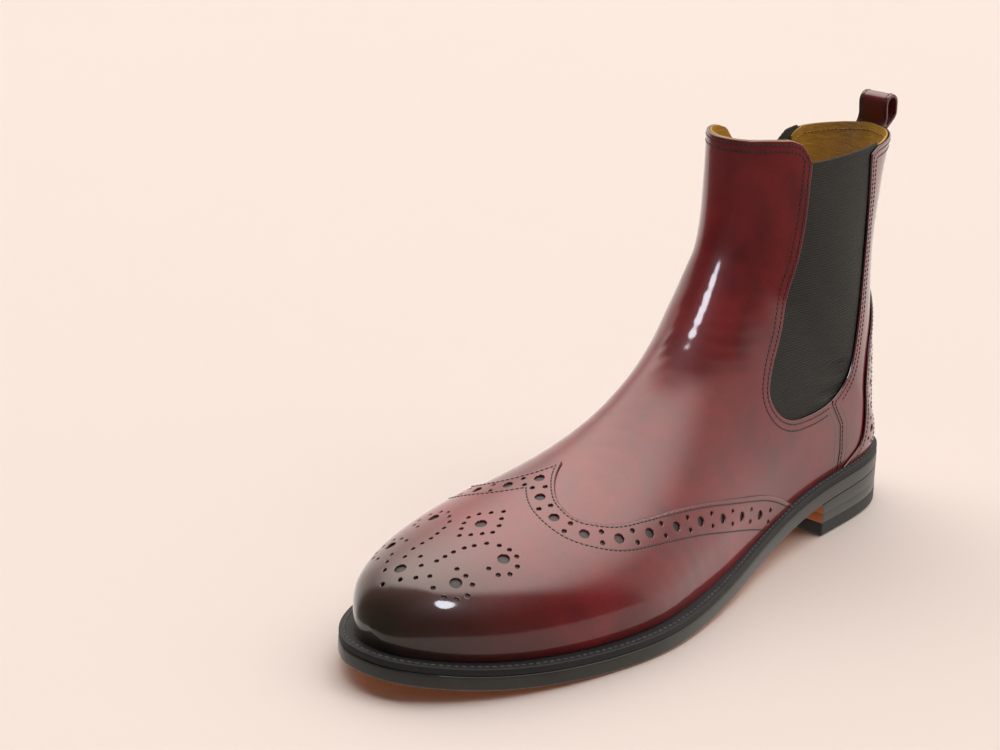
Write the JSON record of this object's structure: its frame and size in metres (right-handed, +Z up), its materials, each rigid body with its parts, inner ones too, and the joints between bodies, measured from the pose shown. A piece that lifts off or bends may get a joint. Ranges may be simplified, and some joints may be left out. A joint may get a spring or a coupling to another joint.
{
  "type": "chelsea boot",
  "caption": "Ankle boot with a brogued wing cap, elastic side gores, a rear pull loop, a stitched welt and a low stacked heel; left foot.",
  "frame": {"origin": "on the ground, under the middle of the boot's box", "axes": "+X to the toe, +Y to the outer side of the foot, +Z up"},
  "size_m": [0.322, 0.1094, 0.1799],
  "materials": {
    "oxblood_leather": "polished, hand-burnished at the toe",
    "tan_lining_leather": "matt, lightly creased",
    "gore_elastic": "ribbed woven elastic, matt",
    "stiffener_board": "matt fibre board",
    "cork": "matt granular",
    "black_sole_edge": "waxed edge, satin",
    "tan_sole_leather": "natural, satin",
    "heel_rubber": "matt",
    "steel": "plain"
  },
  "bodies": {
    "boot": {"vamp": "oxblood_leather", "wingtip": "oxblood_leather", "heel_foxing": "oxblood_leather", "quarter_lower_outer": "oxblood_leather", "quarter_lower_inner": "oxblood_leather", "vamp_lining": "tan_lining_leather", "quarter_lining_lower": "tan_lining_leather", "sock_liner": "tan_lining_leather", "gore_outer": "gore_elastic", "gore_inner": "gore_elastic", "toe_puff": "stiffener_board", "heel_counter": "stiffener_board", "insole": "stiffener_board", "cork_filler": "cork", "outsole": "black_sole_edge", "welt": "black_sole_edge", "heel_lift_lower": "black_sole_edge", "heel_lift_upper": "black_sole_edge", "heel_seat_filler": "tan_sole_leather", "heel_top_piece": "heel_rubber", "shank": "steel", "heel_nail_1": "steel", "heel_nail_2": "steel", "heel_nail_3": "steel", "heel_nail_4": "steel", "heel_nail_5": "steel", "heel_nail_6": "steel"},
    "back_shaft": {"quarter_upper_outer": "oxblood_leather", "quarter_upper_inner": "oxblood_leather", "quarter_lining_upper": "tan_lining_leather", "backstay": "oxblood_leather", "loop_tail_outer": "oxblood_leather", "loop_tail_inner": "oxblood_leather"},
    "pull_loop": {"pull_loop": "oxblood_leather"}
  },
  "joints": [
    {"name": "gusset_stretch", "type": "hinge", "parent": "boot", "child": "back_shaft", "pos_m": [-0.14463, -0.00417, 0.10038], "axis": [0, -1, 0], "range_deg": [0, 12], "stiffness_Nm_per_rad": 1.5, "deforming": ["gore_outer", "gore_inner"]},
    {"name": "pull_loop_flex", "type": "hinge", "parent": "back_shaft", "child": "pull_loop", "pos_m": [-0.15252, -0.00417, 0.16458], "axis": [0, 1, 0], "range_deg": [-20, 50], "stiffness_Nm_per_rad": 0.02}
  ]
}
